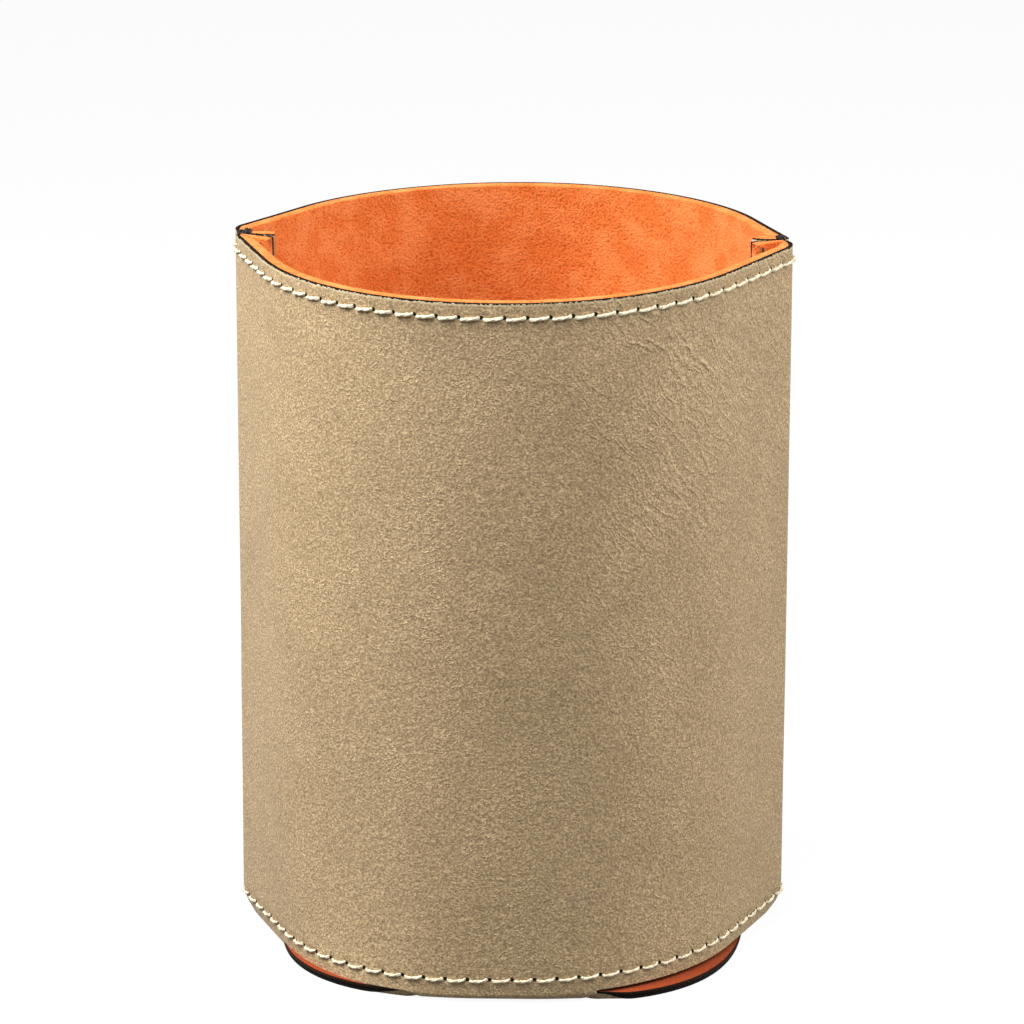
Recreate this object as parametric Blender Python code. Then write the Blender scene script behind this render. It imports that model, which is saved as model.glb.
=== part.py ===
# Leatherette beverage holder, in metres, +Z up, the front facing -Y and the side seams at -X and +X.
# One die-cut sheet makes the front panel, the base and the back panel. It is folded up at the base,
# its sides are sewn inside out and turned, and a soft lining of the same outline lies inside it.

import math

import bmesh
import bpy

# The two layers, with the lining pressed thin over the base, and the clearance that pieces keep
LEATHERETTE = 0.0007
LINING = 0.0013
PRESSED_LINING = 0.0006
CLEARANCE = 0.0003

# The round wall
INSIDE_RADIUS = 0.0336
RIM_HEIGHT = 0.1000
RIM_RISE = 0.0006
RIM_FULLNESS = 0.0006
HEM_TAPER = 0.0004
HEM_FLAT = 0.0033
HEM_SQUARING = 0.0051
SQUARING_HEIGHT = 0.0300

# The turned side seams
SEAM_STANDOFF = 0.0031
SEAM_GAP = 0.0003
CREASE_RADIUS = 0.0002
ALLOWANCE = 0.0052

# The folds at the base, each down to a straight line, and the base disc between them
FOLD_HALF_LENGTH = 0.0135
FOLD_REACH = 0.0030
NOTCH_WIDTH = 0.0009
BASE_FRONT_MARGIN = 0.0009
BASE_ROUNDNESS = 3.0

# The light topstitching along the rim and the hems
STITCH_PITCH = 0.0032
STITCH_SLANT = 0.00018
STITCH_CROWN = 0.00015
TOP_THREAD = 0.0005
RIM_STITCH_INSET = 0.0021
HEM_STITCH_INSET = 0.0019
TOP_THREAD_ANGLE = math.radians(40)

# The dark lockstitch that closes the side seams
SEAM_THREAD = 0.0005
SEAM_PITCH = 0.0042
SEAM_CROWN = 0.00015
SEAM_STITCH_INSET = 0.0039
SEAM_END_MARGIN = 0.0015

# The fineness of the curves
FOLD_COLUMNS = 4
ARC_COLUMNS = 5
RUN_COLUMNS = 2
CORNER_COLUMNS = 6
FOLD_ROWS = 4
BASE_SIDE_STEPS = 26
LOWER_ROWS = 4
SOFT_EDGE = 0.0003

HALF_DEPTH = INSIDE_RADIUS + LINING + CLEARANCE + LEATHERETTE
INNER_DEPTH = LEATHERETTE + CLEARANCE
WALL = INNER_DEPTH + LINING
BASE_THICKNESS = INNER_DEPTH + PRESSED_LINING
HEM_HEIGHT = BASE_THICKNESS + CLEARANCE
CORNER_RADIUS = WALL + CREASE_RADIUS


def clear_scene():
    for obj in list(bpy.data.objects):
        bpy.data.objects.remove(obj, do_unlink=True)


def make_material(name, colour, roughness):
    material = bpy.data.materials.new(name)
    material.use_nodes = True
    shader = material.node_tree.nodes["Principled BSDF"]
    shader.inputs["Base Color"].default_value = (*colour, 1.0)
    shader.inputs["Roughness"].default_value = roughness
    shader.inputs["Metallic"].default_value = 0.0
    return material


def half_width_at(height):
    """How far the seam's outermost point lies from the middle: the holder narrows a little to its hem."""
    return HALF_DEPTH + SEAM_STANDOFF - HEM_TAPER * (1 - height / RIM_HEIGHT)


def wall_outline(height):
    """The wall's outer outline at one height, in its right front quarter: a flat part, an arc whose
    radius falls towards the hem, a straight run tangent to it, and the round turn into the seam."""
    share = max(0.0, 1 - (height - HEM_HEIGHT) / SQUARING_HEIGHT) ** 2
    flat = share * HEM_FLAT
    squaring = share * HEM_SQUARING - (1 - share) * RIM_FULLNESS
    radius = HALF_DEPTH - squaring
    half_width = half_width_at(height)
    turn_x = half_width - CORNER_RADIUS
    turn_y = -SEAM_GAP / 2 - CORNER_RADIUS
    away_x = turn_x - flat
    away_y = turn_y + squaring
    lean = math.acos((radius - CORNER_RADIUS) / math.hypot(away_x, away_y))
    run_angle = math.atan2(away_y, away_x) - lean
    run = math.hypot(away_x, away_y) * math.sin(lean)
    arc_angle = math.pi / 2 + run_angle
    return {
        "flat": flat,
        "squaring": squaring,
        "radius": radius,
        "turn": (turn_x, turn_y),
        "run_angle": run_angle,
        "arc_angle": arc_angle,
        "arc_end": flat + radius * arc_angle,
        "run_end": flat + radius * arc_angle + run,
        "cut_edge": half_width - ALLOWANCE,
    }


def on_wall(outline, along):
    """The point and the outward normal on the wall's outer face, at a distance along it from the
    middle of the panel, up to the end of the straight run and round the seam's turn."""
    flat = outline["flat"]
    radius = outline["radius"]
    if along <= flat:
        return (along, -HALF_DEPTH), (0.0, -1.0)
    angle = min((along - flat) / radius, outline["arc_angle"])
    normal = (math.sin(angle), -math.cos(angle))
    point = (flat + radius * normal[0], -outline["squaring"] + radius * normal[1])
    if along <= outline["arc_end"]:
        return point, normal
    step = min(along, outline["run_end"]) - outline["arc_end"]
    point = (point[0] - normal[1] * step, point[1] + normal[0] * step)
    if along <= outline["run_end"]:
        return point, normal
    turned = outline["run_angle"] + (along - outline["run_end"]) / CORNER_RADIUS
    return on_turn(outline, turned)


def on_turn(outline, angle):
    """The point and the outward normal on the round turn into the seam, at an angle from +X."""
    normal = (math.cos(angle), math.sin(angle))
    turn_x, turn_y = outline["turn"]
    return (turn_x + CORNER_RADIUS * normal[0], turn_y + CORNER_RADIUS * normal[1]), normal


def quarter_stations(height):
    """Points and normals from the middle of a panel to the cut edge of its seam allowance."""
    outline = wall_outline(height)
    stations = []
    for step in range(FOLD_COLUMNS + 1):
        stations.append(on_wall(outline, FOLD_HALF_LENGTH * step / FOLD_COLUMNS))
    for step in range(1, ARC_COLUMNS + 1):
        share = step / ARC_COLUMNS
        along = FOLD_HALF_LENGTH + (outline["arc_end"] - FOLD_HALF_LENGTH) * share
        stations.append(on_wall(outline, along))
    for step in range(1, RUN_COLUMNS):
        share = step / RUN_COLUMNS
        along = outline["arc_end"] + (outline["run_end"] - outline["arc_end"]) * share
        stations.append(on_wall(outline, along))
    for step in range(CORNER_COLUMNS + 1):
        share = step / CORNER_COLUMNS
        angle = outline["run_angle"] + (math.pi / 2 - outline["run_angle"]) * share
        stations.append(on_turn(outline, angle))
    stations.append(((outline["cut_edge"], -SEAM_GAP / 2), (0.0, 1.0)))
    return stations


def panel_stations(height):
    """The stations of a whole front panel, from its left cut edge to its right one."""
    quarter = quarter_stations(height)
    left = [((-x, y), (-nx, ny)) for (x, y), (nx, ny) in quarter[:0:-1]]
    return left + quarter


def row_heights():
    """The heights of the wall's rows below the rim: close together where the hem grows square."""
    heights = [HEM_HEIGHT + SQUARING_HEIGHT * (step / LOWER_ROWS) for step in range(LOWER_ROWS + 1)]
    heights.append(RIM_HEIGHT - SOFT_EDGE)
    return heights


def rim_height_at(x):
    """The rim rises a little to each seam."""
    return RIM_HEIGHT + RIM_RISE * (abs(x) / half_width_at(RIM_HEIGHT)) ** 4


def base_outline():
    """The base disc's cut edge on its right side, from the front notch round to the back notch."""
    half_width = INSIDE_RADIUS
    half_depth = INSIDE_RADIUS + BASE_FRONT_MARGIN
    start = math.acos(((FOLD_HALF_LENGTH + NOTCH_WIDTH) / half_width) ** (BASE_ROUNDNESS / 2))
    points = []
    for step in range(BASE_SIDE_STEPS + 1):
        angle = start * (2 * step / BASE_SIDE_STEPS - 1)
        x = half_width * math.cos(angle) ** (2 / BASE_ROUNDNESS)
        y = half_depth * abs(math.sin(angle)) ** (2 / BASE_ROUNDNESS)
        points.append((x, math.copysign(y, angle)))
    return points


def sheet_points(depth, base_depth, edge_depth):
    """Every point of the folded sheet at one depth below its outer face, in the order that
    sheet_faces expects. The base has a depth of its own, and the rim's last row lies at edge_depth,
    which makes a soft edge there."""
    points = []
    for side in (1, -1):
        rows = row_heights()
        for height in rows:
            for (x, y), (nx, ny) in panel_stations(height):
                top = height == rows[-1]
                z = height + rim_height_at(x) - RIM_HEIGHT if top else height
                points.append((side * (x - nx * depth), side * (y - ny * depth), z))
        for (x, y), (nx, ny) in panel_stations(RIM_HEIGHT):
            z = rim_height_at(x)
            points.append((side * (x - nx * edge_depth), side * (y - ny * edge_depth), z))
        hem = panel_stations(HEM_HEIGHT)
        middle = len(hem) // 2
        fold_line = FOLD_REACH + depth - HALF_DEPTH
        for row in range(1, FOLD_ROWS + 1):
            angle = math.pi / 2 * row / FOLD_ROWS
            share = 1 - math.cos(angle)
            z = HEM_HEIGHT - (HEM_HEIGHT - base_depth) * math.sin(angle)
            for (x, y), (nx, ny) in hem[middle - FOLD_COLUMNS : middle + FOLD_COLUMNS + 1]:
                start_y = y - ny * depth
                points.append((side * (x - nx * depth), side * (start_y + (fold_line - start_y) * share), z))
    for side in (1, -1):
        points.extend((side * x, side * y, base_depth) for x, y in base_outline())
    return points


def sheet_faces():
    """The faces of one side of the sheet: two panels, two folds and the base, as point numbers."""
    columns = len(panel_stations(HEM_HEIGHT))
    rows = len(row_heights()) + 1
    middle = columns // 2
    strip = 2 * FOLD_COLUMNS + 1
    panel_size = columns * rows + strip * FOLD_ROWS
    faces = []
    folds = []
    for start in (0, panel_size):
        for row in range(rows - 1):
            for column in range(columns - 1):
                corner = start + row * columns + column
                faces.append((corner, corner + 1, corner + columns + 1, corner + columns))
        first = start + middle - FOLD_COLUMNS
        upper = list(range(first, first + strip))
        for row in range(FOLD_ROWS):
            first = start + columns * rows + row * strip
            lower = list(range(first, first + strip))
            for left in range(strip - 1):
                faces.append((lower[left], lower[left + 1], upper[left + 1], upper[left]))
            upper = lower
        folds.append(upper)
    edge = BASE_SIDE_STEPS + 1
    right = list(range(2 * panel_size, 2 * panel_size + edge))
    left = list(range(2 * panel_size + edge, 2 * panel_size + 2 * edge))
    faces.append(tuple(folds[0] + right + folds[1] + left))
    return faces


def make_sheet(name, outer, inner, base_inner, soft_edge, material):
    """A closed solid between two depths below the holder's outer face."""
    outer_points = sheet_points(outer, outer, outer + soft_edge)
    inner_points = sheet_points(inner, base_inner, inner - soft_edge)
    faces = sheet_faces()
    uses = {}
    for face in faces:
        for start, end in zip(face, face[1:] + face[:1]):
            uses.setdefault(frozenset((start, end)), []).append((start, end))
    mesh = bmesh.new()
    outside = [mesh.verts.new(point) for point in outer_points]
    inside = [mesh.verts.new(point) for point in inner_points]
    for face in faces:
        mesh.faces.new([outside[index] for index in face])
        mesh.faces.new([inside[index] for index in reversed(face)])
    for found in uses.values():
        if len(found) == 1:
            start, end = found[0]
            mesh.faces.new((outside[end], outside[start], inside[start], inside[end]))
    bmesh.ops.recalc_face_normals(mesh, faces=mesh.faces)
    data = bpy.data.meshes.new(name)
    mesh.to_mesh(data)
    mesh.free()
    data.shade_smooth()
    data.set_sharp_from_angle(angle=math.radians(40))
    data.materials.append(material)
    obj = bpy.data.objects.new(name, data)
    bpy.context.scene.collection.objects.link(obj)
    return obj


def make_thread(name, points, diameter, roundness, material):
    """One continuous thread through its points, with closed ends."""
    curve = bpy.data.curves.new(name, "CURVE")
    curve.dimensions = "3D"
    curve.bevel_depth = diameter / 2
    curve.bevel_resolution = roundness
    curve.use_fill_caps = True
    spline = curve.splines.new("POLY")
    spline.points.add(len(points) - 1)
    for spot, point in zip(spline.points, points):
        spot.co = (*point, 1.0)
    curve.materials.append(material)
    obj = bpy.data.objects.new(name, curve)
    bpy.context.scene.collection.objects.link(obj)
    return obj


def topstitch_points(side, height_at, row_height):
    """A row of slanting stitches on one panel, from seam to seam: each lies over the sheet and dips
    to it at both of its ends."""
    outline = wall_outline(row_height)
    reach = outline["run_end"] + (TOP_THREAD_ANGLE - outline["run_angle"]) * CORNER_RADIUS
    count = round(2 * reach / STITCH_PITCH)
    pitch = 2 * reach / count
    resting = CLEARANCE + TOP_THREAD / 2
    profile = ((0.0, 0.0, 0.0), (0.2, STITCH_CROWN, -STITCH_SLANT), (0.8, STITCH_CROWN, STITCH_SLANT))
    points = []
    for stitch in range(count):
        for share, crown, slant in profile:
            points.append(((stitch + share) * pitch - reach, crown, slant))
    points.append((reach, 0.0, 0.0))
    placed = []
    for along, crown, slant in points:
        (x, y), (nx, ny) = on_wall(outline, abs(along))
        lift = resting + crown
        x = math.copysign(x + nx * lift, along)
        placed.append((side * x, side * (y + ny * lift), height_at(x) + slant))
    return placed


def seam_thread_points(across, face):
    """The thread on one face of a turned seam: across is -1 for the left seam and 1 for the right,
    and face is -1 for the front panel's allowance and 1 for the back panel's."""
    bottom = HEM_HEIGHT + SEAM_END_MARGIN
    top = RIM_HEIGHT - SEAM_END_MARGIN
    count = round((top - bottom) / SEAM_PITCH)
    resting = SEAM_GAP / 2 + WALL + CLEARANCE + SEAM_THREAD / 2
    points = []
    for step in range(2 * count + 1):
        height = bottom + (top - bottom) * step / (2 * count)
        lift = resting + SEAM_CROWN * (step % 2)
        x = half_width_at(height) - SEAM_STITCH_INSET
        points.append((across * x, face * lift, height))
    return points


def build():
    clear_scene()
    leatherette = make_material("leatherette", (0.44, 0.32, 0.18), 0.62)
    lining = make_material("lining", (0.83, 0.21, 0.03), 0.95)
    thread = make_material("thread", (0.86, 0.81, 0.68), 0.75)
    seam_thread = make_material("seam_thread", (0.02, 0.018, 0.016), 0.8)
    make_sheet("leatherette_sheet", 0.0, LEATHERETTE, LEATHERETTE, 0.0, leatherette)
    make_sheet("foam_lining", INNER_DEPTH, WALL, BASE_THICKNESS, SOFT_EDGE, lining)
    rim_row = RIM_HEIGHT - RIM_STITCH_INSET
    hem_row = HEM_HEIGHT + HEM_STITCH_INSET
    for name, side in (("front", 1), ("back", -1)):
        rim = topstitch_points(side, lambda x: rim_height_at(x) - RIM_STITCH_INSET, rim_row)
        hem = topstitch_points(side, lambda x: hem_row, hem_row)
        make_thread("rim_stitching_" + name, rim, TOP_THREAD, 1, thread)
        make_thread("hem_stitching_" + name, hem, TOP_THREAD, 1, thread)
    for name, across in (("left", -1), ("right", 1)):
        needle = seam_thread_points(across, -1)
        bobbin = seam_thread_points(across, 1)
        make_thread(name + "_seam_needle_thread", needle, SEAM_THREAD, 0, seam_thread)
        make_thread(name + "_seam_bobbin_thread", bobbin, SEAM_THREAD, 0, seam_thread)


build()
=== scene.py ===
# Finishes, stitching and light for the leatherette beverage holder.
# The soft pieces are drawn again here, finer, by the same rules as the part, and dressed.
import math

import bmesh
import bpy
import numpy as np
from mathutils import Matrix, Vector


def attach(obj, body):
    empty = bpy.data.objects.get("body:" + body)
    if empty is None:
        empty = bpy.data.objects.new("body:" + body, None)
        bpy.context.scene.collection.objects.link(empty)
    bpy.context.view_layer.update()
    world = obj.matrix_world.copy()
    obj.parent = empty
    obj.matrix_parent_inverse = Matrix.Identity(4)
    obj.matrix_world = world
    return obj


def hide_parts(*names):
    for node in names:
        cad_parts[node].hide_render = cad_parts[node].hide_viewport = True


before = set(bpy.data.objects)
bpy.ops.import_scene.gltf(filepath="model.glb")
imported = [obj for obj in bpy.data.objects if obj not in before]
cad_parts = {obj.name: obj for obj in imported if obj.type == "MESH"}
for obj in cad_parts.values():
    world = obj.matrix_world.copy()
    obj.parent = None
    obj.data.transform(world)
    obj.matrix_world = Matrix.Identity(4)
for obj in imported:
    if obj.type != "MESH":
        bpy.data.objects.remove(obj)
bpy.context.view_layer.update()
print("frame loaded")

# The sewn shell, in metres and degrees
shell = {
    "halfDepth": 0.0359,
    "leatherette": 0.00055,
    "lining": 0.00145,
    "pressedLining": 0.0005,  # over the base
    "layerGap": 0.00004,
    "rimHeight": 0.1001,
    "rimRise": 0.0006,  # to both seams
    "rimTilt": 0.00025,  # up on the right
    "rimFullness": 0.00045,  # added to the radius above the squared part
    "rimBend": 0.0032,  # added to the bend at the rim, on a panel's right half
    "rimReach": 0.0004,  # added to the half width there
    "rimDrawIn": 0.0006,  # taken from the half width on its left half
    "rimTwist": -4.2,
    "hemHeight": 0.0013,
    "hemTilt": 0.00065,  # up on the right
    "hemTuck": 0.0007,  # the seams draw in at the hem
    "hemTuckHeight": 0.0038,
    "hemFlat": 0.0032,
    "hemSquaring": 0.0051,  # taken from the radius, with the arcs moved out as much
    "hemTwist": 3.0,
    "squaringHeight": 0.030,
    "seamStandoff": 0.0031,
    "seamShift": 0.0034,  # at the rim, to one side of the corners
    "seamGap": 0.00015,
    "bendEnd": 45,  # where the bend gives way to the turn into the seam
    "turnRadius": 0.0009,
    "allowance": 0.0052,
    "allowanceHeld": 0.0013,  # by the seam, before the flare starts
    "flareLeft": 14,
    "flareRight": 30,
    "flareStart": 0.06,
    "flareRise": 0.04,
    "flareLeast": 0.15,  # its share low down
    "waveHeight": 0.00016,
}
# Small shapes of the hem: how far they go, their place and width along a panel, and how high they reach
hemSwell = {"size": 0.0004, "place": -0.017, "width": 0.007, "reach": 0.014}
hemCurl = {"size": 0.0005, "place": -0.026, "width": 0.0075, "reach": 0.0075}
hemRise = {"size": 0.00014, "place": -0.018, "width": 0.006, "reach": 0.006}
# The hem's corners lift, from a start before the bend of the seams
hemCorner = {"lift": 0.0007, "start": 0.004, "run": 0.005, "reach": 0.006}
# Where the seam turns the soft layers tightly they are crushed: the room for them, how fast it grows with the
# distance from the turn, and how softly the crushing sets in
crush = {"room": 0.8, "growth": 0.6, "softness": 0.0003}
wall = shell["leatherette"] + shell["layerGap"] + shell["lining"]
turnRadius = shell["turnRadius"]


def eased(value):
    # 0 to 1 with a soft start and end
    value = np.clip(value, 0, 1)
    return value * value * (3 - 2 * value)


def nearHem(height, reach):
    # 1 at the hem, and less and less up to a distance above it
    return np.clip(1 - (height - shell["hemHeight"]) / reach, 0, 1) ** 2


def upShare(height):
    # 0 at the hem and 1 at the rim
    return (height - shell["hemHeight"]) / (shell["rimHeight"] - shell["hemHeight"])


def hemShape(shape, along, height):
    # what a small shape of the hem adds at a place on its panel
    aside = (along - shape["place"]) / shape["width"]
    return shape["size"] * nearHem(height, shape["reach"]) * np.exp(-(aside**2))


def planAt(height, half):
    # the outer face's plan at a height, on a panel's left half (-1) or right half (1): a flat part, an arc,
    # a straight run, a bend and the turn into the seam, which lies to one side of the corner at the rim
    share = nearHem(height, shell["squaringHeight"])
    upper = np.clip(upShare(height), 0, 1)
    full = np.where(half > 0, upper, 0)
    drawn = upper - full
    flat = share * shell["hemFlat"]
    squaring = share * shell["hemSquaring"] - (1 - share) * shell["rimFullness"]
    radius = shell["halfDepth"] - squaring
    bend = turnRadius + full * shell["rimBend"]
    bendAngle = math.radians(shell["bendEnd"])
    halfWidth = shell["halfDepth"] + shell["seamStandoff"] + full * shell["rimReach"]
    halfWidth = halfWidth - drawn * shell["rimDrawIn"]
    halfWidth = halfWidth - shell["hemTuck"] * nearHem(height, shell["hemTuckHeight"])
    bendX = halfWidth - bend
    bendY = (full - drawn) * shell["seamShift"] - shell["seamGap"] / 2 - turnRadius
    bendY = bendY - (bend - turnRadius) * math.sin(bendAngle)
    away = np.hypot(bendX - flat, bendY + squaring)
    lean = np.arccos((radius - bend) / away)
    runAngle = np.arctan2(bendY + squaring, bendX - flat) - lean
    arcEnd = flat + radius * (math.pi / 2 + runAngle)
    runEnd = arcEnd + away * np.sin(lean)
    bendEnd = runEnd + bend * (bendAngle - runAngle)
    turnEnd = bendEnd + turnRadius * (math.pi / 2 - bendAngle)
    return {
        "flat": flat,
        "squaring": squaring,
        "radius": radius,
        "bend": bend,
        "runAngle": runAngle,
        "arcEnd": arcEnd,
        "runEnd": runEnd,
        "bendEnd": bendEnd,
        "turnEnd": turnEnd,
        "crushed": runEnd + (bendEnd - runEnd) * full,
        "edge": turnEnd + shell["allowance"] - turnRadius,
    }


def softWave(along, height, side):
    # broad, low hollows and swells, which die out at the rim, the hem and the seams
    # u and v are the same places in millimetres
    u = along * 1000
    v = height * 1000
    swell = np.sin(u / 6.3 + v / 21 + side) * np.sin(v / 13 + 0.7 * side)
    swell = swell + 0.7 * np.sin(u / 10.1 - v / 17 + 2 * side) * np.sin(v / 23 + u / 40 + 1.3)
    swell = swell + 0.5 * np.sin(u / 4.1 + v / 9.5 + 4) * np.sin(v / 7.7 - u / 15)
    fade = np.clip((58 - np.abs(u)) / 12, 0, 1) * np.clip((v - 2) / 14, 0, 1) * np.clip((99 - v) / 9, 0, 1)
    return shell["waveHeight"] * swell * fade


def twisted(x, y, z):
    # the seams lean: the plan is turned a little one way at the rim and the other way at the hem
    share = z / shell["rimHeight"]
    angle = np.radians(shell["hemTwist"] + (shell["rimTwist"] - shell["hemTwist"]) * share)
    return x * np.cos(angle) - y * np.sin(angle), x * np.sin(angle) + y * np.cos(angle)


def tilt(x, share):
    # the rim rises to both seams, and rim and hem both stand a little higher on the right
    part = x / (shell["halfDepth"] + shell["seamStandoff"])
    rim = shell["rimRise"] * part**4 + shell["rimTilt"] * part
    return share * rim + (1 - share) * shell["hemTilt"] * part


def onSheet(along, height, depth, side):
    # points and outward directions on a panel, which is the front one (1) or the back one (-1): at a distance
    # along it from its middle, at a height, and at a depth below its outer face
    plan = planAt(height, np.where(along < 0, -1, 1))
    radius, bend, runEnd, bendEnd = plan["radius"], plan["bend"], plan["runEnd"], plan["bendEnd"]
    turnEnd = plan["turnEnd"]
    reach = np.abs(along)
    arcAngle = np.clip((reach - plan["flat"]) / radius, 0, math.pi / 2 + plan["runAngle"]) - math.pi / 2
    step = np.clip(reach - plan["arcEnd"], 0, runEnd - plan["arcEnd"])
    bendAngle = arcAngle + np.clip(reach - runEnd, 0, bendEnd - runEnd) / bend
    angle = bendAngle + np.clip(reach - bendEnd, 0, turnEnd - bendEnd) / turnRadius
    beyond = np.clip(reach - turnEnd, 0, None)
    # the allowance is held by the seam at first, and its free rest flares inwards
    free = np.clip(beyond - shell["allowanceHeld"], 0, None)
    freeLength = shell["allowance"] - turnRadius - shell["allowanceHeld"]
    flare = np.radians(np.where(along * side > 0, shell["flareRight"], shell["flareLeft"]))
    flare = flare * np.clip((height - shell["flareStart"]) / shell["flareRise"], shell["flareLeast"], 1)
    x = np.minimum(reach, plan["flat"]) + radius * np.cos(arcAngle) - np.sin(arcAngle) * step
    x = x + bend * (np.cos(bendAngle) - np.cos(arcAngle))
    x = x + turnRadius * (np.cos(angle) - np.cos(bendAngle)) - beyond
    y = radius * np.sin(arcAngle) - plan["squaring"] + np.cos(arcAngle) * step
    y = y + bend * (np.sin(bendAngle) - np.sin(arcAngle))
    y = y + turnRadius * (np.sin(angle) - np.sin(bendAngle)) - flare * free**2 / (2 * freeLength)
    angle = angle + flare * free / freeLength
    # the front panel's hem swells a little to the left of the fold, and its edge curls out beyond that
    if side > 0:
        y = y - hemShape(hemSwell, along, height)
        y = y - hemShape(hemCurl, along, height)
    normalX = np.cos(angle)
    normalY = np.sin(angle)
    # the soft layers are crushed where the seam turns them tightly
    aside = np.clip(plan["crushed"] - reach, 0, None) + beyond
    room = crush["room"] * turnRadius + crush["growth"] * aside
    crushedDepth = (depth + room - np.hypot(depth - room, crush["softness"])) / 2
    depth = np.where(depth > 0, crushedDepth, depth)
    inward = depth - softWave(along, height, side)
    x = np.sign(along) * (x - normalX * inward) * side
    y = (y - normalY * inward) * side
    normalX = np.sign(along) * normalX * side
    normalY = normalY * side
    # the hem's corners lift, and the hem rises a little to the left of the fold
    corner = hemCorner["lift"] * nearHem(height, hemCorner["reach"])
    z = height + tilt(x, upShare(height))
    z = z + corner * eased((reach - runEnd + hemCorner["start"]) / hemCorner["run"])
    z = z + hemShape(hemRise, along * side, height)
    return x, y, z, normalX, normalY


# The round base and the folds under the hem that join it to the panels
base = {
    "halfWidth": 0.0331,
    "halfDepth": 0.0348,
    "roundness": 2.9,
    "turn": -2.2,
    "shift": (0.00056, -0.0004),
    "foldHalfLength": 0.0134,
    "foldReach": 0.0029,
    "foldEnd": 0.003,  # the stretch at both ends of a fold that the notches pull
    "notchWidth": 0.0001,
    "notchOutset": 0.0009,
    "notchLift": 0.0009,
    "notchReach": 0.0065,
    "fade": 0.008,  # the share of its width in which the raised edge levels out
}
# The steps of both sheets' meshes, and the narrow rows beside their cut edges
foldRows = 10
baseSteps = 90
baseRings = (0.9985, 0.996, 0.992, 0.976, 0.95, 0.9, 0.8, 0.6, 0.3)
narrowRow = 0.00012
# The height that the materials read goes on falling round a fold, and the base has one of its own
foldFall = 0.002
baseMark = -0.01


def halfReach(height, half, counts):
    # distances from the middle of a panel to the cut edge of its allowance, at every height
    plan = planAt(height, half)
    fold = np.full_like(height, base["foldHalfLength"])
    stops = [fold * 0, fold, plan["arcEnd"], plan["runEnd"], plan["bendEnd"], plan["turnEnd"], plan["edge"]]
    columns = [stops[0]]
    for start, end, count in zip(stops, stops[1:], counts):
        columns += [start + (end - start) * step / count for step in range(1, count + 1)]
    return np.stack(columns, axis=1)


def baseEdge(side):
    # the base's cut edge on the right (1) or the left (-1), from one notch round to the other, and how near
    # a notch each point is
    width = base["halfWidth"]
    roundness = base["roundness"]
    notchX = base["foldHalfLength"] + base["notchWidth"]
    start = math.acos((notchX / width) ** (roundness / 2))
    angle = np.linspace(-start, start, baseSteps + 1)
    plainX = side * width * np.cos(angle) ** (2 / roundness)
    plainY = side * base["halfDepth"] * np.sign(angle) * np.abs(np.sin(angle)) ** (2 / roundness)
    turn = math.radians(base["turn"])
    x = plainX * math.cos(turn) - plainY * math.sin(turn) + base["shift"][0]
    y = plainX * math.sin(turn) + plainY * math.cos(turn) + base["shift"][1]
    walked = np.concatenate([[0], np.cumsum(np.hypot(np.diff(x), np.diff(y)))])
    foldLine = shell["halfDepth"] - base["foldReach"] + base["notchOutset"]
    nearNotch = x * 0
    for end, distance in ((0, walked), (-1, walked[-1] - walked)):
        near = eased(1 - distance / base["notchReach"])
        x = x + (side * notchX - x[end]) * near
        y = y + (np.sign(y[end]) * foldLine - y[end]) * near
        nearNotch = nearNotch + near
    return x, y, nearNotch


def notchRise(depth, near):
    # beside a notch the sheet's edge rises towards the hem, its outer face the most
    return base["notchLift"] * max(0, 1 - depth / shell["hemHeight"]) * near**2


def foldPoints(along, depth, baseDepth, side):
    # rows of points from a panel's hem down round the fold to the base, and their places
    foldX, hemY, hemZ = onSheet(along, np.full_like(along, shell["hemHeight"]), depth, side)[:3]
    foldLine = side * (base["foldReach"] + depth - shell["halfDepth"])
    foldEnd = eased((np.abs(along) - base["foldHalfLength"]) / base["foldEnd"] + 1)
    foldLine = foldLine - side * base["notchOutset"] * foldEnd
    foot = baseDepth + notchRise(baseDepth, foldEnd)
    points = []
    places = []
    for row in range(1, foldRows + 1):
        turn = math.pi / 2 * row / foldRows
        down = math.sin(turn)
        z = hemZ - (hemZ - foot) * down
        x, y = twisted(foldX, hemY + (foldLine - hemY) * (1 - math.cos(turn)), z)
        points.append(np.stack([x, y, z], axis=-1))
        mark = shell["hemHeight"] - down * foldFall
        places.append(np.stack([along, along * 0 + mark], axis=-1))
    return points, places


def sheetSkin(depth, baseDepth, sheet):
    # one side of the folded sheet: points, and for each its place along its panel and its height
    # a narrow row at both ends keeps the shading of the cut edges off the panels
    counts = sheet["columns"]
    heights = np.linspace(shell["hemHeight"], shell["rimHeight"] - sheet["trim"], sheet["rows"] - 2)
    heights = np.insert(heights, [1, sheet["rows"] - 3], [heights[0] + narrowRow, heights[-1] - narrowRow])
    left = halfReach(heights, -1, counts)
    right = halfReach(heights, 1, counts)
    along = np.concatenate([-left[:, :0:-1], right], axis=1)
    height = np.repeat(heights[:, None], along.shape[1], axis=1)
    middle = along.shape[1] // 2
    strip = along[0, middle - counts[0] : middle + counts[0] + 1]
    points = []
    places = []
    for side in (1, -1):
        x, y, z = onSheet(along, height, depth, side)[:3]
        x, y = twisted(x, y, z)
        points.append(np.stack([x, y, z], axis=-1).reshape(-1, 3))
        places.append(np.stack([along, height], axis=-1).reshape(-1, 2))
        folded, foldedPlaces = foldPoints(strip, depth, baseDepth, side)
        points += folded
        places += foldedPlaces
    for side in (1, -1):
        x, y, nearNotch = baseEdge(side)
        z = baseDepth + notchRise(baseDepth, nearNotch)
        x, y = twisted(x, y, z)
        points.append(np.stack([x, y, z], axis=-1))
        places.append(np.stack([x, z * 0 + baseMark], axis=-1))
    return np.concatenate(points), np.concatenate(places)


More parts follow.
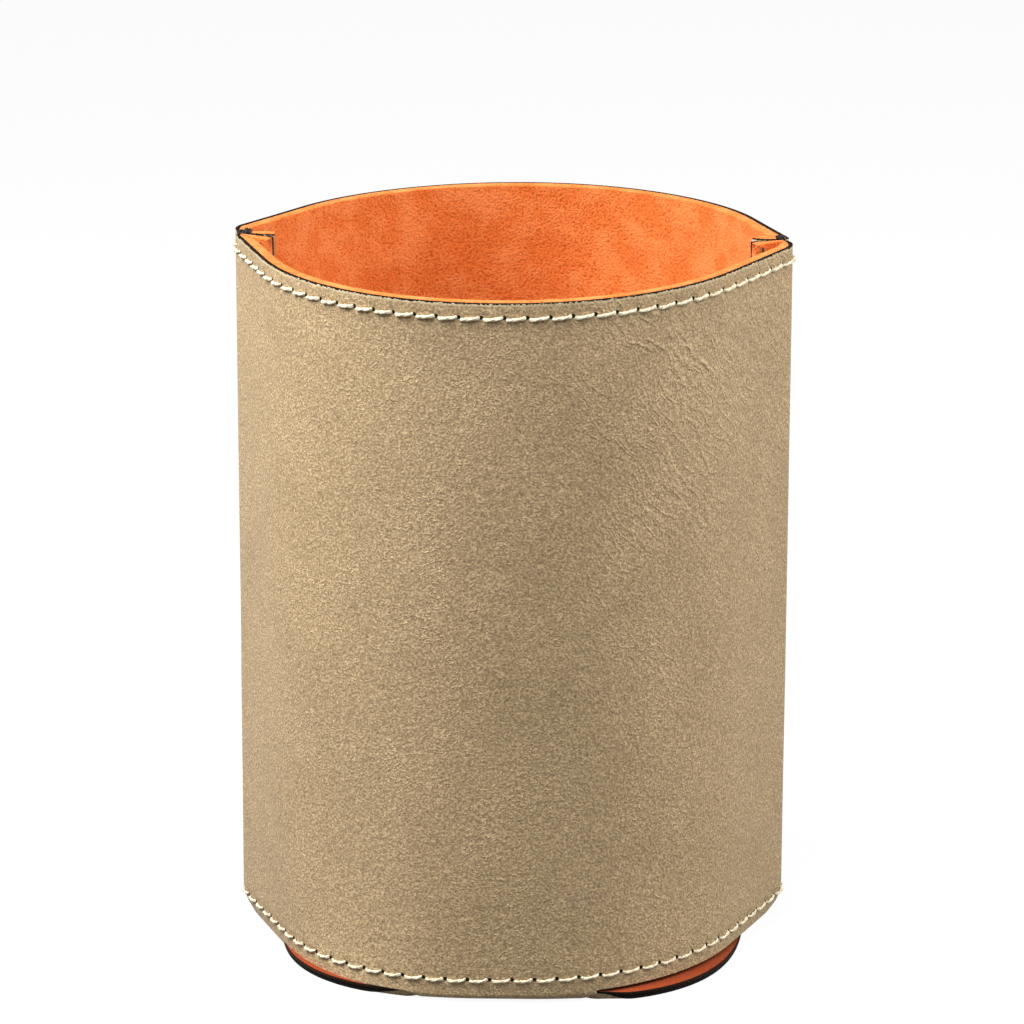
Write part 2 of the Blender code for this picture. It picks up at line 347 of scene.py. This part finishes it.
def sheetFaces(points, places, sheet):
    # the faces of one side, and the inner rings of the base, which are added to the points
    counts = sheet["columns"]
    rows = sheet["rows"]
    columns = 2 * sum(counts) + 1
    middle = columns // 2
    width = 2 * counts[0] + 1
    panelSize = columns * rows + width * foldRows
    faces = []
    folds = []
    for start in (0, panelSize):
        corner = (start + np.arange(rows - 1)[:, None] * columns + np.arange(columns - 1)).ravel()
        faces += np.stack([corner, corner + 1, corner + columns + 1, corner + columns], axis=1).tolist()
        upper = list(range(start + middle - counts[0], start + middle + counts[0] + 1))
        for row in range(foldRows):
            first = start + columns * rows + row * width
            lower = list(range(first, first + width))
            faces += [[lower[i], lower[i + 1], upper[i + 1], upper[i]] for i in range(width - 1)]
            upper = lower
        folds.append(upper)
    edge = baseSteps + 1
    right = list(range(2 * panelSize, 2 * panelSize + edge))
    left = list(range(2 * panelSize + edge, 2 * panelSize + 2 * edge))
    ring = folds[0] + right + folds[1] + left
    outline = points[ring]
    outlinePlaces = places[ring]
    level = outline[:, 2].min()
    for scale in baseRings:
        first = len(points)
        lifted = outline * [scale, scale, 0]
        lifted[:, 2] = level + (outline[:, 2] - level) * eased(1 - (1 - scale) / base["fade"])
        points = np.concatenate([points, lifted])
        places = np.concatenate([places, outlinePlaces * [scale, 1]])
        inner = list(range(first, first + len(ring)))
        turned = zip(ring, ring[1:] + ring[:1], inner, inner[1:] + inner[:1])
        faces += [[b, a, c, d] for a, b, c, d in turned]
        ring = inner
    faces.append(ring[::-1])
    return points, places, faces


def borderOf(faces):
    # the edges that only one face has, in its own direction, and the points on them
    uses = {}
    for face in faces:
        for start, end in zip(face, face[1:] + face[:1]):
            key = (start, end) if start < end else (end, start)
            uses[key] = None if key in uses else (start, end)
    cut = [edge for edge in uses.values() if edge]
    return cut, sorted({point for edge in cut for point in edge})


def waysOut(outer, inner, faces, border):
    # each border point's way out of the sheet, from the faces that meet at it
    meeting = {point: [] for point in border}
    for face in faces:
        for point in face:
            if point in meeting:
                meeting[point].append(face)
    out = np.zeros((len(border), 3))
    for row, point in enumerate(border):
        corners = [corner for face in meeting[point] for corner in face]
        within = [corner for corner in corners if corner not in meeting]
        away = outer[point] - outer[within or corners].mean(axis=0)
        through = inner[point] - outer[point]
        through = through / np.linalg.norm(through)
        away = away - through * away.dot(through)
        out[row] = away / max(np.linalg.norm(away), 1e-9)
    return out


def closedSheet(name, sheet):
    # two sides of a sheet, joined along every cut edge by a rounded strip
    start = sheet["start"]
    outer, places = sheetSkin(start, start, sheet)
    outer, places, faces = sheetFaces(outer, places, sheet)
    inner, innerPlaces = sheetSkin(start + sheet["thickness"], start + sheet["baseThickness"], sheet)
    inner, innerPlaces, innerFaces = sheetFaces(inner, innerPlaces, sheet)
    count = len(outer)
    cut, border = borderOf(faces)
    out = waysOut(outer, inner, faces, border)
    points = [outer, inner]
    depths = [np.zeros(count), np.ones(count)]
    allPlaces = [places, innerPlaces]
    layers = [{point: point for point in border}]
    for step in range(1, sheet["edgeSteps"]):
        angle = math.pi * step / sheet["edgeSteps"]
        share = (1 - math.cos(angle)) / 2
        bulge = out * sheet["edgeRound"] * math.sin(angle)
        first = 2 * count + (step - 1) * len(border)
        layers.append({point: first + row for row, point in enumerate(border)})
        points.append(outer[border] * (1 - share) + inner[border] * share + bulge)
        depths.append(np.full(len(border), 0.1 + 0.8 * share))
        allPlaces.append(places[border])
    layers.append({point: point + count for point in border})
    faces = faces + [[point + count for point in face[::-1]] for face in innerFaces]
    for upper, lower in zip(layers, layers[1:]):
        faces += [[upper[end], upper[start], lower[start], lower[end]] for start, end in cut]
    mesh = bpy.data.meshes.new(name)
    mesh.from_pydata(np.concatenate(points).tolist(), [], faces)
    # the materials read where each point lies on the flat sheet, and how deep in it
    allPlaces = np.concatenate(allPlaces)
    for label, values in (
        ("along", allPlaces[:, 0]),
        ("height", allPlaces[:, 1]),
        ("depth", np.concatenate(depths)),
    ):
        mesh.attributes.new(label, "FLOAT", "POINT").data.foreach_set("value", values.astype(np.float32))
    work = bmesh.new()
    work.from_mesh(mesh)
    bmesh.ops.recalc_face_normals(work, faces=work.faces)
    work.to_mesh(mesh)
    work.free()
    mesh.shade_smooth()
    piece = bpy.data.objects.new(name, mesh)
    bpy.context.scene.collection.objects.link(piece)
    print(name, len(mesh.vertices), "points")
    return piece


class Wire:
    # one output of a node, so that shader and geometry maths reads as plain sums
    def __init__(self, tree, socket=None):
        self.tree = tree
        self.socket = socket

    # adds a node: its settings are made first, then its sockets get values or links
    def node(self, kind, settings=None, sockets=None, output=0):
        new = self.tree.nodes.new(kind)
        for name, value in (settings or {}).items():
            setattr(new, name, value)
        for name, value in (sockets or {}).items():
            if isinstance(value, Wire):
                self.tree.links.new(value.socket, new.inputs[name])
            else:
                new.inputs[name].default_value = value
        return Wire(self.tree, new.outputs[output] if len(new.outputs) else None)

    def sum(self, operation, *values):
        return self.node("ShaderNodeMath", {"operation": operation}, dict(enumerate(values)))

    def __add__(self, other):
        return self.sum("ADD", self, other)

    def __sub__(self, other):
        return self.sum("SUBTRACT", self, other)

    def __rsub__(self, other):
        return self.sum("SUBTRACT", other, self)

    def __mul__(self, other):
        return self.sum("MULTIPLY", self, other)

    def __truediv__(self, other):
        return self.sum("DIVIDE", self, other)

    __radd__ = __add__
    __rmul__ = __mul__


def between(value, low, high):
    # 0 below low, 1 above high, and smooth in between
    return value.node(
        "ShaderNodeMapRange",
        {"interpolation_type": "SMOOTHSTEP"},
        {"Value": value, "From Min": low, "From Max": high},
    )


def onLine(value, width):
    # 1 where a value is 0, and 0 from a width on, on either side
    return 1 - between(value.sum("ABSOLUTE", value), 0.0, width)


def combined(operation, parts):
    # one value from several, added up or the largest of them
    total = parts[0]
    for part in parts[1:]:
        total = total.sum(operation, total, part)
    return total


def mixed(factor, first, second):
    owner = factor if isinstance(factor, Wire) else first
    return owner.node("ShaderNodeMix", {"data_type": "RGBA"}, {0: factor, 6: first, 7: second}, 2)


def noise(place, scale, detail=2.0, rough=0.5):
    sockets = {"Vector": place, "Scale": scale, "Detail": detail, "Roughness": rough}
    return place.node("ShaderNodeTexNoise", None, sockets)


def attribute(wire, name):
    # a value that every point of a sheet carries
    return wire.node("ShaderNodeAttribute", {"attribute_name": name}, output=2)


def relief(wire, height, strength, distance):
    return wire.node("ShaderNodeBump", None, {"Strength": strength, "Distance": distance, "Height": height})


def newMaterial(name):
    material = bpy.data.materials.new(name)
    material.use_nodes = True
    material.node_tree.nodes.clear()
    return material, Wire(material.node_tree)


def finishMaterial(wire, sockets):
    surface = wire.node("ShaderNodeBsdfPrincipled", None, sockets)
    wire.node("ShaderNodeOutputMaterial", None, {"Surface": surface})


# The two rows of light topstitching on each panel
topstitch = {
    "rim": {"inset": 0.0021, "strand": 0.00019, "slant": 0.00032, "sag": 0.00006, "gap": 0.09},
    "hem": {"inset": 0.0022, "strand": 0.00016, "slant": 0.00014, "sag": 0.00022, "gap": 0.1},
    "pitch": 0.00311,
    "cornerAngle": 40,
    "holeRadius": 0.00022,
    "holeShade": 0.00036,
    "strandSpread": 0.00007,
    "twists": 1.25,
    "rest": 0.00012,
    "crown": 0.00012,
    "dip": 0.0005,
    "steps": 20,  # along each stitch
}
rowHeight = {
    "rim": shell["rimHeight"] - topstitch["rim"]["inset"],
    "hem": shell["hemHeight"] + topstitch["hem"]["inset"],
}


def stitchRow(height):
    # where a row of stitches starts and ends along its panel, with a hole at both ends
    reach = []
    for half in (-1, 1):
        plan = planAt(np.array([height]), half)
        turned = math.radians(topstitch["cornerAngle"]) - plan["runAngle"][0]
        reach.append(plan["runEnd"][0] + turned * plan["bend"][0])
    count = round(sum(reach) / topstitch["pitch"])
    return reach[0], reach[1], sum(reach) / count, count


# Tan leatherette with a dark body: the colours are linear
leather = {
    "dark": (0.187, 0.129, 0.068, 1),
    "light": (0.630, 0.460, 0.262, 1),
    "pale": (0.630, 0.530, 0.340, 1),
    "body": (0.003, 0.0025, 0.002, 1),
    "roughness": 0.56,
    "grainScale": 3100.0,
    "pebbleScale": 1150.0,
    "wormScale": 620.0,
    "mottleScale": 95.0,
    "grainDepth": 0.0002,
    "creaseAcross": 600.0,
    "creaseDown": 125.0,
    # the longer folds under the rim: start and end, along and up the panel, and strength
    "folds": (
        (0.0216, 0.0948, 0.0247, 0.0911, 0.8),
        (0.0230, 0.0944, 0.0294, 0.0897, 0.9),
        (0.0294, 0.0897, 0.0312, 0.0862, 0.9),
        (0.0290, 0.0950, 0.0334, 0.0900, 1.0),
        (0.0334, 0.0900, 0.0378, 0.0856, 0.9),
        (0.0274, 0.0930, 0.0338, 0.0872, 0.7),
    ),
}


def creaseLines(along, height, mottle):
    # creases run down to the right: they gather towards the right seam, below its rim and in one small patch
    across = along * 0.80 + height * 0.60 + (mottle - 0.5) * 0.006
    down = along * 0.60 - height * 0.80
    stretched = along.node(
        "ShaderNodeCombineXYZ", None, {0: across * leather["creaseAcross"], 1: down * leather["creaseDown"]}
    )
    line = onLine(noise(stretched, 1.0, 1.0) - 0.5, 0.09)
    rightSide = between(along, 0.002, 0.026) * between(height, 0.020, 0.080)
    patchX = (along + 0.008) * 2.0
    patchY = height - 0.058
    patch = 1 - between(along.sum("SQRT", patchX * patchX + patchY * patchY), 0.004, 0.014)
    where = along.sum("MAXIMUM", rightSide, patch * 0.8)
    return line * along.sum("MAXIMUM", where, 0.12) * between(mottle, 0.40, 0.56)


def rimFolds(along, height, pebble, mottle):
    # a few longer folds under the rim, each a ridge with a groove beside it
    folds = []
    for startX, startY, endX, endY, strength in leather["folds"]:
        runX, runY = endX - startX, endY - startY
        length = math.hypot(runX, runY)
        fromX = along + (pebble - 0.5) * 0.0016 + (mottle - 0.5) * 0.006 - startX
        fromY = height - startY
        onward = (fromX * runX + fromY * runY) / length
        aside = (fromX * -runY + fromY * runX) / length
        span = between(onward, -0.0002, 0.0018) * (1 - between(onward, length - 0.0018, length + 0.0002))
        ridge = onLine(aside - 0.0001, 0.00042) * span * strength
        groove = onLine(aside + 0.00035, 0.00045) * span * strength
        folds.append(ridge - groove * 0.45)
    return combined("ADD", folds)


def stitchMarks(along, height):
    # stitch holes, painted as dark marks that are the black body at their walls and painted shade inside
    # them, and the sheet pulled in along each row
    holes = []
    dents = []
    for edge, row in rowHeight.items():
        left, right, pitch, count = stitchRow(row)
        cycle = along.sum("FRACT", (along + left) / pitch + 0.5)
        aside = (cycle - 0.5) * pitch
        up = height - row
        above = up - topstitch[edge]["slant"] * 0.5
        near = along.sum("SQRT", aside * aside + above * above)
        pull = (1 - between(near, 0.0002, 0.0012)) * 0.6
        pull = pull + (1 - between(up.sum("ABSOLUTE", up), 0.0001, 0.0010)) * 0.4
        # the holes: the black body at their walls and painted shade in them
        holes.append(1 - between(near, topstitch["holeRadius"], topstitch["holeShade"]))
        dents.append(pull)
    return combined("MAXIMUM", holes), combined("MAXIMUM", dents)


def leatherMaterial():
    material, wire = newMaterial("tanLeatherette")
    place = wire.node("ShaderNodeTexCoord", output=3)
    along = attribute(wire, "along")
    height = attribute(wire, "height")
    grain = noise(place, leather["grainScale"], 1.0, 0.6)
    pebble = noise(place, leather["pebbleScale"], 1.0)
    worm = noise(place, leather["wormScale"], 2.0, 0.6)
    mottle = noise(place, leather["mottleScale"], 2.0, 0.55)
    line = creaseLines(along, height, mottle)
    # short wrinkles of the grain, in scattered patches
    wrinkle = onLine(worm - 0.5, 0.045) * between(mottle, 0.44, 0.60) * between(grain, 0.35, 0.55)
    fold = rimFolds(along, height, pebble, mottle)
    hole, dent = stitchMarks(along, height)

    # bright specks on the grain's tops: partly its own tone, partly painted highlight of the relief
    speck = between(grain, 0.52, 0.68) * 0.16
    tone = 0.425 + (grain - 0.5) * 1.2 + speck + (pebble - 0.5) * 0.2 + (mottle - 0.5) * 0.2
    # creases, wrinkles and fold ridges are painted lighter and fold grooves darker: painted highlights and
    # painted shade that follow their relief
    tone = tone + line * 0.06 + wrinkle * 0.18 + fold * 0.10
    colour = mixed(tone, leather["dark"], leather["light"])
    # the rim is rubbed pale along a ragged cut, and the dark body shows at every cut edge; the stitch holes
    # are painted as dark as the body, the black body at their walls and painted shade inside them
    rubbed = between(height, shell["rimHeight"] - 0.00050, shell["rimHeight"] - 0.00030)
    colour = mixed(rubbed * 0.55, colour, leather["pale"])
    ragged = shell["rimHeight"] - 0.00012 + (grain - 0.5) * 0.0006
    cut = between(attribute(wire, "depth"), 0.02, 0.08)
    body = combined("MAXIMUM", (cut, wire.sum("GREATER_THAN", height, ragged), hole))
    colour = mixed(body, colour, leather["body"])

    surface = grain * 0.8 + pebble * 0.7 + line * 0.5 + wrinkle * 0.42 + fold * 0.52 - dent * 0.8
    finishMaterial(
        wire,
        {
            "Base Color": colour,
            "Roughness": leather["roughness"] + (grain - 0.5) * 0.3 + body * 0.3,
            "Specular IOR Level": 0.15,
            "Normal": relief(wire, surface, 0.7, leather["grainDepth"]),
        },
    )
    return material


# Orange napped lining
nap = {
    "deep": (0.48, 0.092, 0.016, 1),
    "mid": (0.65, 0.155, 0.030, 1),
    "bright": (0.78, 0.270, 0.086, 1),
    # the next two are painted shade: for the base's face, and for the cut edge round the base and at the hem
    "shaded": (0.245, 0.026, 0.0095, 1),
    "paintedEdgeShade": (0.004, 0.003, 0.0025, 1),
    "sheen": (1.0, 0.55, 0.25, 1),
    "tuftScale": 2900.0,
    "driftScale": 260.0,
    "tuftDepth": 0.00025,
}


def liningMaterial():
    material, wire = newMaterial("orangeNap")
    place = wire.node("ShaderNodeTexCoord", output=3)
    height = attribute(wire, "height")
    depth = attribute(wire, "depth")
    tuft = noise(place, nap["tuftScale"], 3.0)
    drift = noise(place, nap["driftScale"])
    colour = mixed(between(tuft, 0.30, 0.52), nap["deep"], nap["mid"])
    colour = mixed(between(drift + tuft * 0.6, 0.66, 1.0) * 0.5, colour, nap["bright"])
    # the base's own face is painted darker and redder, as painted shade, and the lining's cut edge round the
    # base and along the hem is painted near black, as painted shade where the holder meets the floor
    paintedShadeOnBase = 1 - between(height, -0.006, -0.002)
    colour = mixed(paintedShadeOnBase * 0.85, colour, nap["shaded"])
    # painted shade: the lining's cut edge is painted near black only round the base and at the hem, not at
    # the rim
    cut = between(depth, 0.01, 0.08) * (1 - between(depth, 0.84, 0.97))
    cut = cut * (1 - between(height, shell["hemHeight"] + 0.0002, shell["hemHeight"] + 0.0006))
    colour = mixed(cut, colour, nap["paintedEdgeShade"])
    finishMaterial(
        wire,
        {
            "Base Color": colour,
            "Roughness": 0.95,
            "Specular IOR Level": 0.1,
            "Sheen Weight": 0.12,
            "Sheen Roughness": 0.5,
            "Sheen Tint": nap["sheen"],
            "Normal": relief(wire, tuft + drift * 0.8, 0.9, nap["tuftDepth"]),
        },
    )
    return material


# Cream thread in the rows and dark thread in the seams
thread = {
    "creamLow": (0.56, 0.485, 0.33, 1),
    "creamHigh": (0.84, 0.76, 0.57, 1),
    "darkLow": (0.003, 0.0025, 0.002, 1),
    "darkHigh": (0.02, 0.017, 0.015, 1),
    "fibreScale": 3800.0,
    "fibreDepth": 0.00008,
}


def threadMaterial(name, low, high):
    material, wire = newMaterial(name)
    fibre = noise(wire.node("ShaderNodeTexCoord", output=3), thread["fibreScale"], 3.0)
    colour = mixed(between(fibre, 0.35, 0.65), low, high)
    bump = relief(wire, fibre, 0.5, thread["fibreDepth"])
    finishMaterial(wire, {"Base Color": colour, "Roughness": 0.7, "Specular IOR Level": 0.3, "Normal": bump})
    return material


tanLeatherette = leatherMaterial()
orangeNap = liningMaterial()
creamThread = threadMaterial("creamThread", thread["creamLow"], thread["creamHigh"])
darkThread = threadMaterial("darkThread", thread["darkLow"], thread["darkHigh"])
print("materials ready")

# Both layers: where they start below the outer face, how they are cut, and the steps of their meshes
leatherLayer = {
    "start": 0.0,
    "thickness": shell["leatherette"],
    "baseThickness": shell["leatherette"],
    "trim": 0.00003,
    "edgeRound": 0.00004,
    "edgeSteps": 4,
    "rows": 104,
    "columns": ((22, 40, 10, 10, 8, 10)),
}
liningLayer = {
    "start": shell["leatherette"] + shell["layerGap"],
    "thickness": shell["lining"],
    "baseThickness": shell["pressedLining"],
    "trim": 0.00011,
    "edgeRound": 0.00022,
    "edgeSteps": 8,
    "rows": 64,
    "columns": ((18, 30, 12, 9, 7, 14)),
}
leatherette = closedSheet("leatheretteSheet", leatherLayer)
leatherette.data.materials.append(tanLeatherette)
lining = closedSheet("nappedLining", liningLayer)
lining.data.materials.append(orangeNap)


# A thread tree: two strands wound round each other along a path, dipping into the sheet at every hole
def threadTree(material):
    tree = bpy.data.node_groups.new("twistedStitches", "GeometryNodeTree")
    face = tree.interface
    face.new_socket("Geometry", in_out="INPUT", socket_type="NodeSocketGeometry")
    for name in ("Pitch", "Strand Radius", "Strand Spread", "Twists", "Slant", "Sag", "Gap", "Crown", "Dip"):
        face.new_socket(name, in_out="INPUT", socket_type="NodeSocketFloat")
    face.new_socket("Geometry", in_out="OUTPUT", socket_type="NodeSocketGeometry")
    wire = Wire(tree)
    source = tree.nodes.new("NodeGroupInput")
    given = {socket.name: Wire(tree, socket) for socket in source.outputs if socket.name}

    def named(name, kind):
        return wire.node("GeometryNodeInputNamedAttribute", {"data_type": kind}, {"Name": name})

    def scaled(direction, length):
        return wire.node("ShaderNodeVectorMath", {"operation": "SCALE"}, {0: direction, "Scale": length})

    along = named("along", "FLOAT")
    outward = named("outward", "FLOAT_VECTOR")
    upward = named("upward", "FLOAT_VECTOR")
    cycle = wire.sum("FRACT", along / given["Pitch"])
    inner = wire.sum("MINIMUM", cycle, 1 - cycle)
    rise = between(inner, given["Gap"] * 0.4, given["Gap"] * 2.2)
    lift = rise * (given["Crown"] + given["Dip"]) - given["Dip"]
    # each stitch slants, and sags in the middle
    low = cycle - 0.42
    lean = (cycle - 0.5) * given["Slant"] + (low * low * 4 - 0.7) * given["Sag"]
    path = wire.node("GeometryNodeMeshToCurve", None, {"Mesh": given["Geometry"]})
    ring = wire.node(
        "GeometryNodeCurvePrimitiveCircle", None, {"Resolution": 9, "Radius": given["Strand Radius"]}
    )
    joined = wire.node("GeometryNodeJoinGeometry")
    for half in (0.0, math.pi):
        turn = along / given["Pitch"] * given["Twists"] * (2 * math.pi) + half
        moved = scaled(outward, lift + wire.sum("COSINE", turn) * given["Strand Spread"])
        raised = scaled(upward, lean + wire.sum("SINE", turn) * given["Strand Spread"])
        shift = wire.node("ShaderNodeVectorMath", {"operation": "ADD"}, {0: moved, 1: raised})
        strand = wire.node("GeometryNodeSetPosition", None, {"Geometry": path, "Offset": shift})
        sockets = {"Curve": strand, "Profile Curve": ring, "Fill Caps": True}
        body = wire.node("GeometryNodeCurveToMesh", None, sockets)
        tree.links.new(body.socket, joined.socket.node.inputs[0])
    real = wire.node("GeometryNodeRealizeInstances", None, {"Geometry": joined})
    done = wire.node("GeometryNodeSetMaterial", None, {"Geometry": real, "Material": material})
    wire.node("NodeGroupOutput", None, {"Geometry": done})
    return tree


def stitchPath(name, along, points, outward, knotStart=0):
    # a line of points that carry their distance and their two directions for the thread tree, and from
    # knotStart on a second line
    mesh = bpy.data.meshes.new(name)
    edges = [(i, i + 1) for i in range(len(points) - 1) if i + 1 != knotStart]
    mesh.from_pydata(points.tolist(), edges, [])
    mesh.attributes.new("along", "FLOAT", "POINT").data.foreach_set("value", along.astype(np.float32))
    upward = np.zeros_like(points)
    upward[:, 2] = 1
    for label, values in (("outward", outward), ("upward", upward)):
        made = mesh.attributes.new(label, "FLOAT_VECTOR", "POINT")
        made.data.foreach_set("vector", values.astype(np.float32).ravel())
    piece = bpy.data.objects.new(name, mesh)
    bpy.context.scene.collection.objects.link(piece)
    return piece


def overSheet(along, heights, depth, side, facing):
    # points over a panel's outer face (1) or over its lining (-1), and the direction away from it
    x, y, z, normalX, normalY = onSheet(along, heights, np.full_like(along, depth), side)
    tipX, tipY = twisted(x + facing * normalX, y + facing * normalY, z)
    x, y = twisted(x, y, z)
    return np.stack([x, y, z], axis=-1), np.stack([tipX - x, tipY - y, z * 0], axis=-1)


def sewn(piece, tree, sizes):
    # runs the thread tree on a path and keeps the result as a plain mesh
    modifier = piece.modifiers.new("stitches", "NODES")
    modifier.node_group = tree
    for item in tree.interface.items_tree:
        if item.in_out == "INPUT" and item.name in sizes:
            modifier[item.identifier] = float(sizes[item.name])
    piece.update_tag()
    evaluated = piece.evaluated_get(bpy.context.evaluated_depsgraph_get())
    mesh = bpy.data.meshes.new_from_object(evaluated)
    piece.modifiers.clear()
    old = piece.data
    piece.data = mesh
    bpy.data.meshes.remove(old)
    mesh.name = piece.name
    mesh.shade_smooth()
    return piece


topTree = threadTree(creamThread)
darkTree = threadTree(darkThread)


def topRow(name, edge, side):
    # one row of light stitches, along the rim or the hem of a panel
    left, right, pitch, count = stitchRow(rowHeight[edge])
    along = np.linspace(-left, right, count * topstitch["steps"] + 1)
    heights = np.full_like(along, rowHeight[edge])
    points, outward = overSheet(along, heights, -topstitch["rest"], side, 1)
    return sewn(
        stitchPath(name, along + left, points, outward),
        topTree,
        {
            "Pitch": pitch,
            "Strand Radius": topstitch[edge]["strand"],
            "Strand Spread": topstitch["strandSpread"],
            "Twists": topstitch["twists"],
            "Slant": topstitch[edge]["slant"],
            "Sag": topstitch[edge]["sag"],
            "Gap": topstitch[edge]["gap"],
            "Crown": topstitch["crown"],
            "Dip": topstitch["dip"],
        },
    )


# The dark lockstitch that closes the two side seams, on the lining of both allowances
seamstitch = {
    "stitches": 28,
    "inset": 0.0039,
    "hemMargin": 0.0015,
    "rimMargin": 0.0006,
    "strandRadius": 0.00016,
    "strandSpread": 0.00011,
    "twists": 2.5,
    "gap": 0.06,
    "rest": 0.00012,
    "crown": 0.00014,
    "dip": 0.0003,
    "steps": 18,  # along each stitch
    "leftKnot": {"middle": (-0.0376, -0.0027, 0.1001), "size": 0.00088, "turns": 8},
    "rightKnot": {"middle": (0.0372, 0.0037, 0.1011), "size": 0.00028, "turns": 5},
    "knotPace": 0.0004,
}


def knotPath(knot):
    # a small tangle of thread wound round its middle: distances, points and directions
    turn = np.linspace(0, 2 * math.pi * knot["turns"], 24 * knot["turns"])
    reach = knot["size"] * (0.7 + 0.3 * np.sin(1.7 * turn))
    x = knot["middle"][0] + reach * np.cos(turn) * np.cos(0.37 * turn)
    y = knot["middle"][1] + reach * np.sin(turn)
    z = knot["middle"][2] + reach * np.cos(turn) * np.sin(0.37 * turn) * 0.8
    x, y = twisted(x, y, z)
    outward = np.stack([np.cos(turn), np.sin(turn), turn * 0], axis=-1)
    return turn * seamstitch["knotPace"], np.stack([x, y, z], axis=-1), outward


def seamRow(name, across, face):
    # one thread of the left seam (-1) or the right one (1), on the front panel's allowance (-1) or the
    # back panel's (1)
    heights = np.linspace(
        shell["hemHeight"] + seamstitch["hemMargin"],
        shell["rimHeight"] - seamstitch["rimMargin"],
        seamstitch["stitches"] * seamstitch["steps"] + 1,
    )
    half = -across * face
    along = half * (planAt(heights, half)["turnEnd"] + seamstitch["inset"] - turnRadius)
    points, outward = overSheet(along, heights, wall + seamstitch["rest"], -face, -1)
    length = heights - heights[0]
    pitch = length[-1] / seamstitch["stitches"]
    knotStart = 0
    if face < 0:
        # the thread's end is a small dark knot in the mouth of the seam
        knotLength, knotPoints, knotOut = knotPath(seamstitch["leftKnot" if across < 0 else "rightKnot"])
        knotStart = len(points)
        length = np.append(length, knotLength)
        points = np.append(points, knotPoints, axis=0)
        outward = np.append(outward, knotOut, axis=0)
    return sewn(
        stitchPath(name, length, points, outward, knotStart),
        darkTree,
        {
            "Pitch": pitch,
            "Strand Radius": seamstitch["strandRadius"],
            "Strand Spread": seamstitch["strandSpread"],
            "Twists": seamstitch["twists"],
            "Slant": 0.0,
            "Sag": 0.0,
            "Gap": seamstitch["gap"],
            "Crown": seamstitch["crown"],
            "Dip": seamstitch["dip"],
        },
    )


threads = []
for panel, side in (("front", 1), ("back", -1)):
    for edge in ("rim", "hem"):
        row = topRow(edge + panel.capitalize() + "Stitching", edge, side)
        threads.append((row, edge + "_stitching_" + panel, "thread"))
for seam, across in (("left", -1), ("right", 1)):
    for label, face in (("needle", -1), ("bobbin", 1)):
        row = seamRow(seam + label.capitalize() + "Thread", across, face)
        threads.append((row, seam + "_seam_" + label + "_thread", "seam_thread"))
print("threads sewn")

pieces = [(leatherette, "leatherette_sheet", "leatherette"), (lining, "foam_lining", "lining")] + threads
for piece, node, slotName in pieces:
    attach(piece, "root")
    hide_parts(node)

# The camera, placed as the photograph was taken
view = {"distance": 0.6925, "height": 0.2696, "turn": 5.33, "tilt": 16.81, "lens": 179.1, "sensor": 36}
turn = math.radians(view["turn"])
camera = bpy.data.objects.new("camera", bpy.data.cameras.new("camera"))
camera.data.lens = view["lens"]
camera.data.sensor_width = view["sensor"]
camera.data.clip_start = 0.05
camera.location = (view["distance"] * math.sin(turn), -view["distance"] * math.cos(turn), view["height"])
camera.rotation_euler = (math.radians(90 - view["tilt"]), 0, turn)
bpy.context.scene.collection.objects.link(camera)
bpy.context.scene.camera = camera

# A white floor that keeps the shadow: the camera sees part glow and part paper
floorLook = {"paper": (0.16, 0.16, 0.16, 1), "glow": 1.55, "glowShare": 0.6}


def floorMaterial():
    material, wire = newMaterial("whiteFloor")
    seen = wire.node("ShaderNodeLightPath").socket.node.outputs
    rays = [Wire(wire.tree, seen[ray]) for ray in ("Is Camera Ray", "Is Glossy Ray", "Is Transmission Ray")]
    paper = wire.node("ShaderNodeBsdfDiffuse", None, {"Color": floorLook["paper"]})
    glow = wire.node("ShaderNodeEmission", None, {"Color": (1, 1, 1, 1), "Strength": floorLook["glow"]})
    factor = combined("MAXIMUM", rays) * floorLook["glowShare"]
    surface = wire.node("ShaderNodeMixShader", None, {0: factor, 1: paper, 2: glow})
    wire.node("ShaderNodeOutputMaterial", None, {"Surface": surface})
    return material


floorMesh = bpy.data.meshes.new("floor")
floorMesh.from_pydata([(-4, -4, 0), (4, -4, 0), (4, 6, 0), (-4, 6, 0)], [], [(0, 1, 2, 3)])
floor = bpy.data.objects.new("floor", floorMesh)
bpy.context.scene.collection.objects.link(floor)
floorMesh.materials.append(floorMaterial())

# Soft lamps close to the holder, on both sides and in front, and a pale world
lamps = {
    "leftLamp": {"place": (-0.30, -0.09, 0.42), "target": (0, 0, 0.12), "size": (0.3, 0.3), "power": 4.3},
    "rightLamp": {"place": (0.50, 0.02, 0.40), "target": (0, 0, 0.09), "size": (0.4, 0.45), "power": 4.1},
    "frontLamp": {"place": (0.0, -0.26, 0.43), "target": (0, -0.03, 0.10), "size": (0.3, 0.2), "power": 1.32},
}
worldLight = 0.21


def softLamp(name, place, target, size, power):
    lamp = bpy.data.objects.new(name, bpy.data.lights.new(name, "AREA"))
    lamp.data.shape = "RECTANGLE"
    lamp.data.size, lamp.data.size_y = size
    lamp.data.energy = power
    lamp.location = place
    aim = Vector(target) - Vector(place)
    lamp.rotation_euler = aim.to_track_quat("-Z", "Y").to_euler()
    bpy.context.scene.collection.objects.link(lamp)


for name, lamp in lamps.items():
    softLamp(name, **lamp)
world = bpy.data.worlds.new("paleWorld")
world.use_nodes = True
world.node_tree.nodes["Background"].inputs["Color"].default_value = (1, 1, 1, 1)
world.node_tree.nodes["Background"].inputs["Strength"].default_value = worldLight
bpy.context.scene.world = world
bpy.context.scene.view_settings.view_transform = "Standard"
print("camera and light ready")
